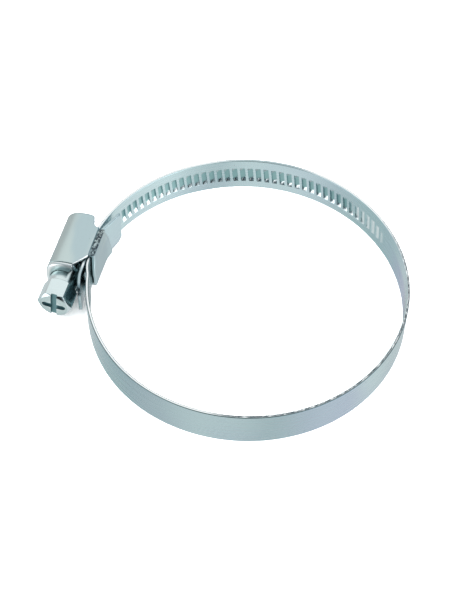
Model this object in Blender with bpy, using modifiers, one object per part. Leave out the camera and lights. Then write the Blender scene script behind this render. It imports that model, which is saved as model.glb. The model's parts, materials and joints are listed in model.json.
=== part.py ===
"""Worm-drive hose clamp with a 9 mm band, drawn near its largest setting.

The band is one spring-steel strip.  It runs round the ring, its plain end is held in the
housing on the saddle plate, and its threaded end passes outside that, under the worm screw.
So that it can close the ring, the strip is cut into a stiff threaded end, which turns about
its own arc centre, and a chain of short hinged links behind it.

World frame: +Z up, the ring's axis along Z, the screw's axis along Y with its head towards -Y,
the housing on the -X side.  Sizes are written in millimetres and turned to metres once.
"""

import math

import bmesh
import bpy
from mathutils import Matrix, Vector

MM = 0.001

# Band
BAND_WIDTH = 9.0
BAND_THICKNESS = 0.7
RING_RADIUS = 35.8            # middle of the strip, round most of the ring
NEAR_RADIUS = 35.15           # where the strip enters the housing as the inner layer
NARROWING_START = 290.0       # degrees round the ring where the radius begins to shrink
NARROWING_SPAN = 60.0
LINK_COUNT = 17               # hinged links between the threaded end and the housing link
FIRST_HINGE = 63.0            # degrees round the ring, from the housing by way of +Y
LAST_HINGE = 351.0
JOINT_GAP = 0.3

# Threaded end, an arc about its own centre (outward from the ring's centre, and along +Y)
THREAD_ARC_CENTRE = (0.6, -0.4)
THREAD_ARC_RADIUS = 35.9
TAIL_TIP = -20.6              # degrees about the thread arc's centre
THREAD_PITCH = 1.88
MARK_LENGTH = 4.4
MARK_WIDTH = 1.05
MARK_DEPTH = 0.3
MARK_SLANT = 11.0             # degrees
LAST_MARK = 140.0             # degrees round the ring
MARK_END_MARGIN = 0.85

# Fixed end of the band, its tongue and the housing link inside the housing
INNER_LAYER = 35.4            # distance of the inner layer's middle from the ring's centre
HOUSING_LINK_END = -1.2
TONGUE_START = 0.9
TONGUE_PLACES = ((35.28, 4.4), (35.05, 5.4), (34.62, 6.5), (34.05, 7.9), (32.65, 11.3))

# Saddle plate
SADDLE_INNER = 34.1
SADDLE_THICKNESS = 0.4
SADDLE_HALF_WIDTH = 5.3
RAIL_THICKNESS = 0.5
RAIL_TOP = 35.5
SADDLE_NEAR = -2.9
SADDLE_FAR = 5.5

# Housing cap
CAP_HALF_WIDTH = 5.5
CAP_SHEET = 0.7
CAP_FOOT = 35.8               # lower edge of the walls
CAP_SPRING = 38.2             # where the straight walls turn into the arch
CAP_TOP = 44.5
CAP_NEAR = -7.2
CAP_FAR = 9.3
NECK_CLEARANCE = 0.3

# Worm screw
SCREW_AXIS = 40.2
HEX_ACROSS_FLATS = 7.0
HEX_FRONT = -14.8
HEX_BACK = -9.6
NECK_RADIUS = 3.2
NECK_END = -5.9
CORE_RADIUS = 2.45
CORE_END = 7.9
RIDGE_CENTRE = 2.6
RIDGE_RADIUS = 0.5
HEAD_ROLL = 4.0               # degrees about +Y
SLOT_WIDTH = 1.3
SLOT_DEPTH = 1.7
CROSS_LENGTH = 4.4
CROSS_WIDTH = 1.1
CROSS_DEPTH = 1.2

# The ring's centre, so that the origin is at the bottom centre of the whole object's box
RING_OUTER = RING_RADIUS + BAND_THICKNESS / 2
RING_CENTRE = ((CAP_TOP - RING_OUTER) / 2, 0.0, CAP_HALF_WIDTH)

# Local axes for outlines: which world directions an outline's X and Y stand for
SECTION_PLANE = Matrix(((-1, 0, 0), (0, 0, 1), (0, 1, 0))).transposed()   # outward, up
SIDE_PLANE = Matrix(((0, 1, 0), (-1, 0, 0), (0, 0, 1))).transposed()      # along +Y, outward
FACE_PLANE = Matrix(((0, 1, 0), (0, 0, 1), (1, 0, 0))).transposed()       # along +Y, up


def clear_scene():
    """Remove every object, and the collections a former run left."""
    for item in list(bpy.data.objects):
        bpy.data.objects.remove(item, do_unlink=True)
    for group in list(bpy.data.collections):
        bpy.data.collections.remove(group)


def new_collection(name):
    group = bpy.data.collections.new(name)
    bpy.context.scene.collection.children.link(group)
    return group


def steel(name, colour, roughness):
    """A zinc-plated steel finish."""
    material = bpy.data.materials.new(name)
    material.use_nodes = True
    shader = material.node_tree.nodes["Principled BSDF"]
    shader.inputs["Base Color"].default_value = (*colour, 1.0)
    shader.inputs["Metallic"].default_value = 1.0
    shader.inputs["Roughness"].default_value = roughness
    return material


def world(outward, along, up=0.0):
    """World point in metres of a place given from the ring's centre, in millimetres."""
    return Vector((RING_CENTRE[0] - outward, RING_CENTRE[1] + along, RING_CENTRE[2] + up)) * MM


def smooth_step(value):
    value = min(max(value, 0.0), 1.0)
    return value * value * (3.0 - 2.0 * value)


def ring_radius(angle):
    """Radius of the strip's middle at an angle round the ring, in degrees."""
    narrowing = smooth_step((angle - NARROWING_START) / NARROWING_SPAN)
    return RING_RADIUS - (RING_RADIUS - NEAR_RADIUS) * narrowing


def ring_place(angle):
    """(outward, along) of the strip's middle at an angle round the ring."""
    radius = ring_radius(angle)
    return (radius * math.cos(math.radians(angle)), radius * math.sin(math.radians(angle)))


def thread_place(angle):
    """(outward, along) of the threaded end's middle, by its angle about its own centre."""
    outward = THREAD_ARC_CENTRE[0] + THREAD_ARC_RADIUS * math.cos(math.radians(angle))
    along = THREAD_ARC_CENTRE[1] + THREAD_ARC_RADIUS * math.sin(math.radians(angle))
    return (outward, along)


def hinge_angle(index):
    return FIRST_HINGE + (LAST_HINGE - FIRST_HINGE) * index / LINK_COUNT


def add_mesh(name, mesh, group, material=None):
    item = bpy.data.objects.new(name, mesh)
    group.objects.link(item)
    if material:
        mesh.materials.clear()
        mesh.materials.append(material)
    return item


def outline_solid(name, outline, half_depth, plane, place, group, material=None):
    """A flat outline in millimetres, thickened by half_depth to both sides of its plane."""
    curve = bpy.data.curves.new(name, "CURVE")
    curve.dimensions = "2D"
    curve.fill_mode = "BOTH"
    curve.extrude = half_depth * MM
    spline = curve.splines.new("POLY")
    spline.points.add(len(outline) - 1)
    for point, (across, over) in zip(spline.points, outline):
        point.co = (across * MM, over * MM, 0.0, 1.0)
    spline.use_cyclic_u = True
    drawing = bpy.data.objects.new(name + "_outline", curve)
    drawing.matrix_world = Matrix.Translation(place) @ plane.to_4x4()
    group.objects.link(drawing)
    return curve_to_mesh(drawing, name, group, material)


def curve_to_mesh(drawing, name, group, material=None):
    """Turn a curve object into a mesh object with welded caps, and remove the curve."""
    bpy.context.view_layer.update()
    evaluated = drawing.evaluated_get(bpy.context.evaluated_depsgraph_get())
    mesh = bpy.data.meshes.new_from_object(evaluated)
    mesh.name = name
    soup = bmesh.new()
    soup.from_mesh(mesh)
    bmesh.ops.remove_doubles(soup, verts=soup.verts, dist=1e-6)
    bmesh.ops.recalc_face_normals(soup, faces=soup.faces)
    soup.to_mesh(mesh)
    soup.free()
    item = add_mesh(name, mesh, group, material)
    item.matrix_world = drawing.matrix_world.copy()
    bpy.data.objects.remove(drawing, do_unlink=True)
    return item


def combine(target, tool, operation="DIFFERENCE"):
    """Boolean modifier on target; the tool object becomes a hidden cutter."""
    modifier = target.modifiers.new(operation.lower(), "BOOLEAN")
    modifier.operation = operation
    modifier.solver = "EXACT"
    modifier.object = tool
    tool.hide_render = True
    tool.display_type = "WIRE"
    return modifier


def shade_smooth(item, angle=35.0):
    item.data.shade_smooth()
    item.data.set_sharp_from_angle(angle=math.radians(angle))


def set_origin(item, place):
    """Move an object's origin to a world point and leave its mesh where it is."""
    shift = item.matrix_world.inverted() @ place
    item.data.transform(Matrix.Translation(-shift))
    item.matrix_world = item.matrix_world @ Matrix.Translation(shift)


def strip_outline(places):
    """Closed outline of a strip of the band's thickness along its middle line."""
    half = BAND_THICKNESS / 2
    outer, inner = [], []
    for index, here in enumerate(places):
        before = Vector(places[max(index - 1, 0)])
        after = Vector(places[min(index + 1, len(places) - 1)])
        run = (after - before).normalized()
        side = Vector((run.y, -run.x)) * half
        outer.append(Vector(here) + side)
        inner.append(Vector(here) - side)
    return [(-point.x, point.y) for point in outer + inner[::-1]]


def strip(name, places, group, material):
    """A length of band along (outward, along) places."""
    plane = Matrix.Identity(3)
    return outline_solid(name, strip_outline(places), BAND_WIDTH / 2, plane, world(0, 0), group, material)


def rounded_end(name, start, end, radii, reach, group):
    """Solid with the band's face outline, square at start and rounded at end, for an intersection."""
    half = BAND_WIDTH / 2
    over = 1.0
    sign = 1.0 if end > start else -1.0
    steps = 6
    outline = [(start, -half - over), (start, half + over)]
    for corner, radius in ((1.0, radii[0]), (-1.0, radii[1])):
        arc = []
        for step in range(steps + 1):
            turn = math.radians(90.0 * step / steps)
            along = end - sign * radius * (1.0 - math.cos(turn))
            up = corner * (half - radius + radius * math.sin(turn))
            arc.append((along, up))
        outline += arc[::-1] if corner > 0 else arc
        if corner > 0:
            outline.insert(2, (end - sign * radius, half + over))
        else:
            outline.append((end - sign * radius, -half - over))
    return outline_solid(name, outline, reach, FACE_PLANE, world(INNER_LAYER, 0), group)


def mark_cutter(name, frames, group):
    """Boxes that press the thread marks into the strip's inner face.

    frames are (outward, along, outward normal angle in degrees) of each mark's middle.
    """
    soup = bmesh.new()
    for outward, along, angle in frames:
        turn = math.radians(angle)
        normal = Vector((-math.cos(turn), math.sin(turn), 0.0))
        forward = Vector((math.sin(turn), math.cos(turn), 0.0))
        depth = 1.0
        floor = MARK_DEPTH - BAND_THICKNESS / 2 - depth / 2
        centre = world(outward, along) + normal * floor * MM
        axes = Matrix((normal, forward, Vector((0, 0, 1)))).transposed().to_4x4()
        slant = Matrix.Rotation(math.radians(MARK_SLANT), 4, "X")
        size = Matrix.Diagonal((depth * MM, MARK_WIDTH * MM, MARK_LENGTH * MM, 1.0))
        bmesh.ops.create_cube(soup, size=1.0, matrix=Matrix.Translation(centre) @ axes @ slant @ size)
    bmesh.ops.recalc_face_normals(soup, faces=soup.faces)
    mesh = bpy.data.meshes.new(name)
    soup.to_mesh(mesh)
    soup.free()
    return add_mesh(name, mesh, group)


def threaded_end(parts, cutters, material):
    """Stiff threaded end of the band, from the free tail through the housing."""
    first = ring_place(FIRST_HINGE)
    offset = Vector(first) - Vector(THREAD_ARC_CENTRE)
    reach = math.degrees(math.atan2(offset.y, offset.x))
    stop = reach - math.degrees(JOINT_GAP / 2 / THREAD_ARC_RADIUS)
    count = 34
    angles = [TAIL_TIP + (stop - TAIL_TIP) * step / count for step in range(count + 1)]
    item = strip("band_threaded_end", [thread_place(angle) for angle in angles], parts, material)
    tip = thread_place(TAIL_TIP)[1]
    combine(item, rounded_end("tail_end_cutter", 45.0, tip, (2.3, 2.3), 30.0, cutters), "INTERSECT")
    step_angle = math.degrees(THREAD_PITCH / THREAD_ARC_RADIUS)
    margin = math.degrees(MARK_END_MARGIN / THREAD_ARC_RADIUS)
    frames = []
    index = math.ceil((TAIL_TIP + 2.5 * margin) / step_angle)
    while index * step_angle < stop - margin:
        angle = index * step_angle
        frames.append((*thread_place(angle), angle))
        index += 1
    combine(item, mark_cutter("threaded_end_marks", frames, cutters))
    set_origin(item, world(*THREAD_ARC_CENTRE))
    return item


def link_marks(start, stop):
    """Frames of the thread marks that fit between two angles round the ring."""
    step_angle = math.degrees(THREAD_PITCH / RING_RADIUS)
    margin = math.degrees(MARK_END_MARGIN / RING_RADIUS)
    frames = []
    index = math.ceil((start + margin) / step_angle)
    while index * step_angle < min(stop - margin, LAST_MARK):
        angle = index * step_angle
        frames.append((*ring_place(angle), angle))
        index += 1
    return frames


def band_links(parts, cutters, material):
    """The plain stretch of the band as short links, each with its origin on its first hinge."""
    half_gap = math.degrees(JOINT_GAP / 2 / RING_RADIUS)
    count = 5
    for index in range(LINK_COUNT):
        start = hinge_angle(index) + half_gap
        stop = hinge_angle(index + 1) - half_gap
        angles = [start + (stop - start) * step / count for step in range(count + 1)]
        name = f"band_link_{index + 1:02d}"
        item = strip(name, [ring_place(angle) for angle in angles], parts, material)
        frames = link_marks(start, stop)
        if frames:
            combine(item, mark_cutter(name + "_marks", frames, cutters))
        set_origin(item, world(*ring_place(hinge_angle(index))))


def housing_link(parts, material):
    """Last link, which runs into the housing as the inner layer on the saddle plate."""
    half_gap = math.degrees(JOINT_GAP / 2 / RING_RADIUS)
    start = ring_place(LAST_HINGE + half_gap)
    bend = (INNER_LAYER, -3.4)
    places = [start, (bend[0] - 0.12, bend[1] - 0.7), bend, (INNER_LAYER, HOUSING_LINK_END)]
    item = strip("band_housing_link", places, parts, material)
    set_origin(item, world(*ring_place(LAST_HINGE)))
    return item


def fixed_end(parts, cutters, material):
    """Fixed end of the band, clinched to the saddle plate, with the tongue that sticks out."""
    places = [(INNER_LAYER, TONGUE_START), (INNER_LAYER, TONGUE_START + 2.1), *TONGUE_PLACES]
    item = strip("band_fixed_end", places, parts, material)
    tip = TONGUE_PLACES[-1][1] - 0.15
    combine(item, rounded_end("tongue_end_cutter", -2.0, tip, (0.8, 2.2), 8.0, cutters), "INTERSECT")
    return item


def saddle_plate(parts, cutters, material):
    """Shallow channel under the band, with rails beside the band's edges."""
    half = SADDLE_HALF_WIDTH
    floor = SADDLE_INNER + SADDLE_THICKNESS
    rail = half - RAIL_THICKNESS
    outline = [(SADDLE_INNER, -half), (SADDLE_INNER, half), (RAIL_TOP, half), (RAIL_TOP, rail),
               (floor, rail), (floor, -rail), (RAIL_TOP, -rail), (RAIL_TOP, -half)]
    middle = (SADDLE_NEAR + SADDLE_FAR) / 2
    length = SADDLE_FAR - SADDLE_NEAR
    item = outline_solid("saddle_plate", outline, length / 2, SECTION_PLANE, world(0, middle), parts, material)
    corner = [(4.2, half + 1.0), (4.2, half), (4.8, half - 0.4), (5.2, half - 1.4), (5.5, half - 3.0),
              (8.0, half - 3.0), (8.0, half + 1.0)]
    cutter = outline_solid("saddle_corner_cutter", corner, 3.0, FACE_PLANE, world(SADDLE_INNER, 0), cutters)
    combine(item, cutter)
    return item


def arch(half_width, top, foot):
    """Section outline of the housing: straight walls under half an ellipse."""
    steps = 20
    outline = [(foot, -half_width)]
    for step in range(steps + 1):
        turn = math.pi * (step / steps - 0.5)
        rise = (top - CAP_SPRING) * math.cos(turn)
        outline.append((CAP_SPRING + rise, half_width * math.sin(turn)))
    outline.append((foot, half_width))
    return outline


def housing_cap(parts, cutters, material):
    """Pressed cap over the worm: arched shell, closed at both ends, open towards the band."""
    middle = (CAP_NEAR + CAP_FAR) / 2
    length = CAP_FAR - CAP_NEAR
    outside = arch(CAP_HALF_WIDTH, CAP_TOP, CAP_FOOT - 3.0)
    item = outline_solid("housing_cap", outside, length / 2, SECTION_PLANE, world(0, middle), parts, material)
    rounding = item.modifiers.new("end_rounding", "BEVEL")
    rounding.width = 0.9 * MM
    rounding.segments = 3
    rounding.limit_method = "ANGLE"
    rounding.angle_limit = math.radians(60.0)
    inside = arch(CAP_HALF_WIDTH - CAP_SHEET, CAP_TOP - CAP_SHEET, CAP_FOOT - 5.0)
    depth = length / 2 - CAP_SHEET
    cavity = outline_solid("cap_cavity_cutter", inside, depth, SECTION_PLANE, world(0, middle), cutters)
    combine(item, cavity)
    below = CAP_FOOT - 6.0
    foot = [(-20, below), (20, below), (20, CAP_FOOT), (-20, CAP_FOOT)]
    combine(item, outline_solid("cap_foot_cutter", foot, 9.0, SIDE_PLANE, world(0, 0), cutters))
    near = [(-20, below), (-3.0, below), (-3.0, 35.7), (-6.0, 38.0), (-20, 38.0)]
    combine(item, outline_solid("cap_near_cutter", near, 9.0, SIDE_PLANE, world(0, 0), cutters))
    far = [(5.4, below), (20, below), (20, 37.5), (8.2, 37.5), (6.6, 37.3), (5.8, 36.8), (5.4, 36.4)]
    combine(item, outline_solid("cap_far_cutter", far, 9.0, SIDE_PLANE, world(0, 0), cutters))
    soup = bmesh.new()
    turn = Matrix.Rotation(math.radians(90.0), 4, "X")
    place = Matrix.Translation(world(SCREW_AXIS, CAP_NEAR))
    hole = (NECK_RADIUS + NECK_CLEARANCE) * MM
    bmesh.ops.create_cone(soup, cap_ends=True, segments=32, radius1=hole, radius2=hole, depth=5.0 * MM,
                          matrix=place @ turn)
    mesh = bpy.data.meshes.new("cap_neck_cutter")
    soup.to_mesh(mesh)
    soup.free()
    combine(item, add_mesh("cap_neck_cutter", mesh, cutters))
    return item


def turned(name, profile, group, material=None, steps=32):
    """A turned solid about local Z from (radius, height) points, listed top to bottom."""
    mesh = bpy.data.meshes.new(name)
    points = [(radius * MM, 0.0, height * MM) for radius, height in profile]
    edges = [(index, index + 1) for index in range(len(points) - 1)]
    mesh.from_pydata(points, edges, [])
    item = add_mesh(name, mesh, group, material)
    lathe = item.modifiers.new("lathe", "SCREW")
    lathe.axis = "Z"
    lathe.steps = steps
    lathe.render_steps = steps
    lathe.use_merge_vertices = True
    lathe.merge_threshold = 0.00001
    lathe.use_smooth_shade = True
    return item


def worm_ridge(cutters):
    """The worm's helical ridge, a right-hand coil along local Z with tapered ends."""
    start, stop = -NECK_END + 0.2, -CORE_END + 0.9
    turns = (start - stop) / THREAD_PITCH
    per_turn = 16
    count = int(turns * per_turn)
    curve = bpy.data.curves.new("worm_ridge", "CURVE")
    curve.dimensions = "3D"
    curve.bevel_depth = RIDGE_RADIUS * MM
    curve.bevel_resolution = 1
    curve.use_fill_caps = True
    spline = curve.splines.new("POLY")
    spline.points.add(count)
    for index, point in enumerate(spline.points):
        turn = -2.0 * math.pi * index / per_turn
        height = start - THREAD_PITCH * index / per_turn
        fade = min(index, count - index) / (per_turn / 2)
        point.co = (RIDGE_CENTRE * math.cos(turn) * MM, RIDGE_CENTRE * math.sin(turn) * MM, height * MM, 1.0)
        point.radius = 0.45 + 0.55 * min(fade, 1.0)
    drawing = bpy.data.objects.new("worm_ridge_outline", curve)
    cutters.objects.link(drawing)
    return curve_to_mesh(drawing, "worm_ridge", cutters)


def hex_head(cutters):
    """Chamfered hexagon head, with one flat up."""
    soup = bmesh.new()
    corner = HEX_ACROSS_FLATS / math.sqrt(3.0)
    length = HEX_BACK - HEX_FRONT
    middle = -(HEX_BACK + HEX_FRONT) / 2
    matrix = Matrix.Translation((0, 0, middle * MM)) @ Matrix.Rotation(math.radians(30.0), 4, "Z")
    bmesh.ops.create_cone(soup, cap_ends=True, segments=6, radius1=corner * MM, radius2=corner * MM,
                          depth=length * MM, matrix=matrix)
    mesh = bpy.data.meshes.new("hex_head")
    soup.to_mesh(mesh)
    soup.free()
    item = add_mesh("hex_head", mesh, cutters)
    across = HEX_ACROSS_FLATS / 2
    front, back = -HEX_FRONT, -HEX_BACK
    profile = [(0.0, front + 0.2), (across - 0.3, front), (corner - 0.15, front - 0.6),
               (corner - 0.15, back + 0.5), (across - 0.1, back - 0.01), (0.0, back - 0.01)]
    combine(item, turned("head_chamfer", profile, cutters), "INTERSECT")
    return item


def slot_cutter(name, length, width, depth, turn, cutters):
    """A box that cuts a driver slot into the head's front face."""
    soup = bmesh.new()
    over = 1.0
    height = -HEX_FRONT + over / 2 - depth / 2
    size = Matrix.Diagonal((length * MM, width * MM, (depth + over) * MM, 1.0))
    rotation = Matrix.Rotation(math.radians(turn), 4, "Z")
    bmesh.ops.create_cube(soup, size=1.0, matrix=Matrix.Translation((0, 0, height * MM)) @ rotation @ size)
    mesh = bpy.data.meshes.new(name)
    soup.to_mesh(mesh)
    soup.free()
    return add_mesh(name, mesh, cutters)


def worm_screw(parts, cutters, material):
    """Worm screw: local +Z points out of the head, towards world -Y."""
    profile = [(0.0, -HEX_BACK + 0.5), (NECK_RADIUS, -HEX_BACK + 0.5), (NECK_RADIUS, -NECK_END + 0.3),
               (CORE_RADIUS, -NECK_END), (CORE_RADIUS, -CORE_END + 0.6), (CORE_RADIUS - 0.6, -CORE_END),
               (0.0, -CORE_END)]
    item = turned("worm_screw", profile, parts, material)
    tools = [(worm_ridge(cutters), "UNION"), (hex_head(cutters), "UNION"),
             (slot_cutter("slot_cutter", 12.0, SLOT_WIDTH, SLOT_DEPTH, 90.0, cutters), "DIFFERENCE"),
             (slot_cutter("cross_cutter", CROSS_LENGTH, CROSS_WIDTH, CROSS_DEPTH, 0.0, cutters), "DIFFERENCE")]
    placing = (Matrix.Translation(world(SCREW_AXIS, 0)) @ Matrix.Rotation(math.radians(HEAD_ROLL), 4, "Y")
               @ Matrix.Rotation(math.radians(90.0), 4, "X"))
    item.matrix_world = placing
    for tool, operation in tools:
        tool.matrix_world = placing @ tool.matrix_world
        combine(item, tool, operation)
    for tool in cutters.objects:
        if tool.name == "head_chamfer":
            tool.matrix_world = placing
    return item


def main():
    clear_scene()
    parts = new_collection("hose_clamp")
    cutters = new_collection("cutters")
    band_steel = steel("band_zinc_plated_steel", (0.62, 0.69, 0.71), 0.28)
    pressed_steel = steel("housing_zinc_plated_steel", (0.60, 0.66, 0.68), 0.34)
    screw_steel = steel("screw_zinc_plated_steel", (0.66, 0.72, 0.74), 0.24)
    housing_cap(parts, cutters, pressed_steel)
    saddle_plate(parts, cutters, pressed_steel)
    fixed_end(parts, cutters, band_steel)
    worm_screw(parts, cutters, screw_steel)
    threaded_end(parts, cutters, band_steel)
    band_links(parts, cutters, band_steel)
    housing_link(parts, band_steel)
    for item in parts.objects:
        if item.name != "worm_screw":
            shade_smooth(item)


if __name__ == "__main__":
    main()
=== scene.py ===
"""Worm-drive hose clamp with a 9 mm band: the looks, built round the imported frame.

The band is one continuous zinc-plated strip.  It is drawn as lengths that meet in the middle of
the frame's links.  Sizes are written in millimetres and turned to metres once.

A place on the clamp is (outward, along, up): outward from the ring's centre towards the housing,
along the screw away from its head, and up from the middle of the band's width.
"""

import json
import logging
import math
from dataclasses import dataclass, field
from enum import Enum
from typing import ClassVar, Iterable, Sequence

import bmesh
import bpy
from mathutils import Matrix, Vector

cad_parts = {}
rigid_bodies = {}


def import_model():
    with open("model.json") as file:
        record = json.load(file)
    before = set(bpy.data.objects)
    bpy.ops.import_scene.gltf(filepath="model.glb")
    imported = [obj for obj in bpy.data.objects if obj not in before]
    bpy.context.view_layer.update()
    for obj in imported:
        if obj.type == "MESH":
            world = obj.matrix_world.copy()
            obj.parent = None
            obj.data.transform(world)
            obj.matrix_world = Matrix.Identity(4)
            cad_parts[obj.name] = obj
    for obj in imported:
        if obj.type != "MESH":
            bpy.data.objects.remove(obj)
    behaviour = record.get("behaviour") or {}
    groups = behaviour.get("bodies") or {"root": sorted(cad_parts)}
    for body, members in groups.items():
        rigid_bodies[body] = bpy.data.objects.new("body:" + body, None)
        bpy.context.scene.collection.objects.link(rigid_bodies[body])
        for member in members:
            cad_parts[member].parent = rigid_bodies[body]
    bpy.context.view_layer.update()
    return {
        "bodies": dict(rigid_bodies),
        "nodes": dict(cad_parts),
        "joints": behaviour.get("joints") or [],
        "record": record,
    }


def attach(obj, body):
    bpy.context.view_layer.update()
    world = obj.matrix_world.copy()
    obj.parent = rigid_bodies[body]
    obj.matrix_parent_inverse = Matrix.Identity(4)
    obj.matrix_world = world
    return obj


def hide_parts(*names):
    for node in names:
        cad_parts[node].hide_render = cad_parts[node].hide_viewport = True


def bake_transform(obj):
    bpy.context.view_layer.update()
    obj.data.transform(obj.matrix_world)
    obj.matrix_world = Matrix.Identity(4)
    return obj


MM = 0.001
RING_RADIUS = 35.79         # middle line of the ring, mm
BAND_THICKNESS = 0.7
BAND_WIDTH = 9.0
SCREW_AXIS = 40.2           # the screw's distance from the ring's centre, mm

LOG = logging.getLogger("hose_clamp")

Node = bpy.types.Node
Socket = bpy.types.NodeSocket
Place = tuple[float, float, float]
Span = tuple[float, float]


# ---------------------------------------------------------------- small helpers


def clamp01(value: float) -> float:
    """Limit a value to the span from 0 to 1."""
    return min(max(value, 0.0), 1.0)


def ease(start: float, stop: float, value: float) -> float:
    """Rise smoothly from 0 at start to 1 at stop.

    Args:
        start: Where the rise begins.
        stop: Where it ends, above or below start.
        value: The place to look at.

    Returns:
        A number from 0 to 1 with level ends.
    """
    share = clamp01((value - start) / (stop - start))
    return share * share * (3.0 - 2.0 * share)


def window(rise: Span, fall: Span, value: float) -> float:
    """Be 1 between a smooth rise and a smooth fall, and 0 outside them."""
    return ease(*rise, value) * (1.0 - ease(*fall, value))


def mix(first: float, second: float, share: float) -> float:
    """Blend two numbers by a share from 0 to 1."""
    return first + (second - first) * share


def spread(start: float, stop: float, count: int) -> list[float]:
    """Return count + 1 evenly spaced values from start to stop."""
    return [mix(start, stop, step / count) for step in range(count + 1)]


def linear_colour(code: str) -> tuple[float, float, float, float]:
    """Turn an sRGB hex colour into the linear values that shaders take.

    Args:
        code: Six hex digits with a leading #.

    Returns:
        Red, green and blue, linear, and a full alpha.
    """
    channels = [int(code[start:start + 2], 16) / 255.0 for start in (1, 3, 5)]
    red, green, blue = (value / 12.92 if value <= 0.04045 else ((value + 0.055) / 1.055) ** 2.4
                        for value in channels)
    return red, green, blue, 1.0


def rounded_half(left: float, corner: float) -> float:
    """Half the strip's width near an end whose corners are rounded.

    Args:
        left: Distance left to the end.
        corner: The corners' radius.

    Returns:
        The half width in mm.
    """
    half = BAND_WIDTH / 2
    if left >= corner:
        return half
    return half - corner + math.sqrt(max(corner ** 2 - (corner - left) ** 2, 0.0))


# ---------------------------------------------------------------- the frame's measures


@dataclass(frozen=True)
class Layout:
    """Where the clamp's own measures sit in the frame."""

    centre: Vector

    @classmethod
    def from_frame(cls, frame: dict) -> "Layout":
        """Find the ring's centre from the screw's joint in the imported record.


        Returns:
            The layout, in metres.
        """
        screw = next(joint for joint in frame["joints"] if joint["name"] == "screw_turn")
        return cls(Vector(screw["pos_m"]) + Vector((SCREW_AXIS * MM, 0.0, 0.0)))

    def place(self, outward: float, along: float, up: float = 0.0) -> Vector:
        """Turn a place on the clamp, in millimetres, into a point in metres."""
        return self.centre + Vector((-outward, along, up)) * MM


# ---------------------------------------------------------------- meshes


class Skin:
    """The points of a piece, with the values that its finish reads at each of them."""

    def __init__(self) -> None:
        """Start with no points."""
        self.points: list[Vector] = []
        self.marks: dict[str, list] = {"rest_place": []}

    def add(self, point: Vector, rest: Place, **values: float) -> None:
        """Add a point.

        Args:
            point: Its place in the frame.
            rest: Its place on the piece in mm, which the patterns follow.
            values: Shares from 0 to 1 of the finish's layers, the same names for every point.
        """
        self.points.append(point)
        self.marks["rest_place"].append(rest)
        for title, value in values.items():
            self.marks.setdefault(title, []).append(float(value))


def mesh_piece(name: str, skin: Skin, faces: Iterable[Sequence[int]], material: bpy.types.Material,
               sharp: float = 38.0) -> bpy.types.Object:
    """Make a smooth-shaded mesh object.

    Args:
        name: The piece's name.
        skin: Its points and their marks.
        faces: Point numbers round each face.
        material: Its finish.
        sharp: Edges that turn by more than this many degrees stay sharp.

    Returns:
        The new object, linked to the scene.
    """
    mesh = bpy.data.meshes.new(name)
    mesh.from_pydata([tuple(point) for point in skin.points], [], [tuple(face) for face in faces])
    for title, values in skin.marks.items():
        if isinstance(values[0], float):
            mesh.attributes.new(title, "FLOAT", "POINT").data.foreach_set("value", values)
        else:
            mesh.attributes.new(title, "FLOAT_VECTOR", "POINT").data.foreach_set(
                "vector", [part for value in values for part in value])
    soup = bmesh.new()
    soup.from_mesh(mesh)
    bmesh.ops.remove_doubles(soup, verts=soup.verts, dist=1e-7)
    bmesh.ops.dissolve_degenerate(soup, edges=soup.edges, dist=1e-7)
    bmesh.ops.recalc_face_normals(soup, faces=soup.faces)
    soup.to_mesh(mesh)
    soup.free()
    mesh.materials.append(material)
    mesh.shade_smooth()
    mesh.set_sharp_from_angle(angle=math.radians(sharp))
    piece = bpy.data.objects.new(name, mesh)
    bpy.context.scene.collection.objects.link(piece)
    return piece


def loop_faces(columns: int, points_round: int, closed_ends: bool = True) -> list[tuple[int, ...]]:
    """Faces of a solid swept through closed loops.

    Args:
        columns: How many loops there are.
        points_round: How many points each loop has.
        closed_ends: Whether the first and last loops get a face of their own.

    Returns:
        Vertex numbers for each face, loop after loop.
    """
    faces: list[tuple[int, ...]] = []
    for column in range(columns - 1):
        here, after = column * points_round, (column + 1) * points_round
        for step in range(points_round):
            beside = (step + 1) % points_round
            faces.append((here + step, here + beside, after + beside, after + step))
    if closed_ends:
        faces.append(tuple(reversed(range(points_round))))
        faces.append(tuple((columns - 1) * points_round + step for step in range(points_round)))
    return faces


def cut(target: bpy.types.Object, tools: Sequence[bpy.types.Object]) -> None:
    """Cut tools out of a piece for good, and remove them.

    Args:
        target: The piece that is cut.
        tools: Closed solids; the cut faces take their finish.
    """
    for tool in tools:
        change = target.modifiers.new(tool.name, "BOOLEAN")
        change.operation = "DIFFERENCE"
        change.solver = "EXACT"
        change.material_mode = "TRANSFER"
        change.object = tool
    bpy.context.view_layer.update()
    result = bpy.data.meshes.new_from_object(target.evaluated_get(bpy.context.evaluated_depsgraph_get()))
    target.modifiers.clear()
    target.data = result
    for tool in tools:
        bpy.data.objects.remove(tool, do_unlink=True)


# ---------------------------------------------------------------- finishes


def add_node(tree: bpy.types.NodeTree, kind: str, settings: dict | None = None,
             links: dict | None = None) -> Node:
    """Add a node with its settings and inputs.

    Args:
        tree: The node tree.
        kind: The node's type name.
        settings: Properties of the node itself.
        links: Input name or number to a socket, or to a plain value.

    Returns:
        The node.
    """
    node = tree.nodes.new(kind)
    for title, value in (settings or {}).items():
        setattr(node, title, value)
    for title, value in (links or {}).items():
        if isinstance(value, bpy.types.NodeSocket):
            tree.links.new(value, node.inputs[title])
        else:
            node.inputs[title].default_value = value
    return node


def colour_steps(node: Node, steps: Sequence[tuple[float, float]]) -> None:
    """Set a colour ramp to grey levels.

    Args:
        node: The ramp node.
        steps: Position and grey level of each stop, in order.
    """
    ramp = node.color_ramp
    while len(ramp.elements) < len(steps):
        ramp.elements.new(0.5)
    for element, (position, level) in zip(ramp.elements, steps):
        element.position = position
        element.color = (level, level, level, 1.0)


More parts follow.
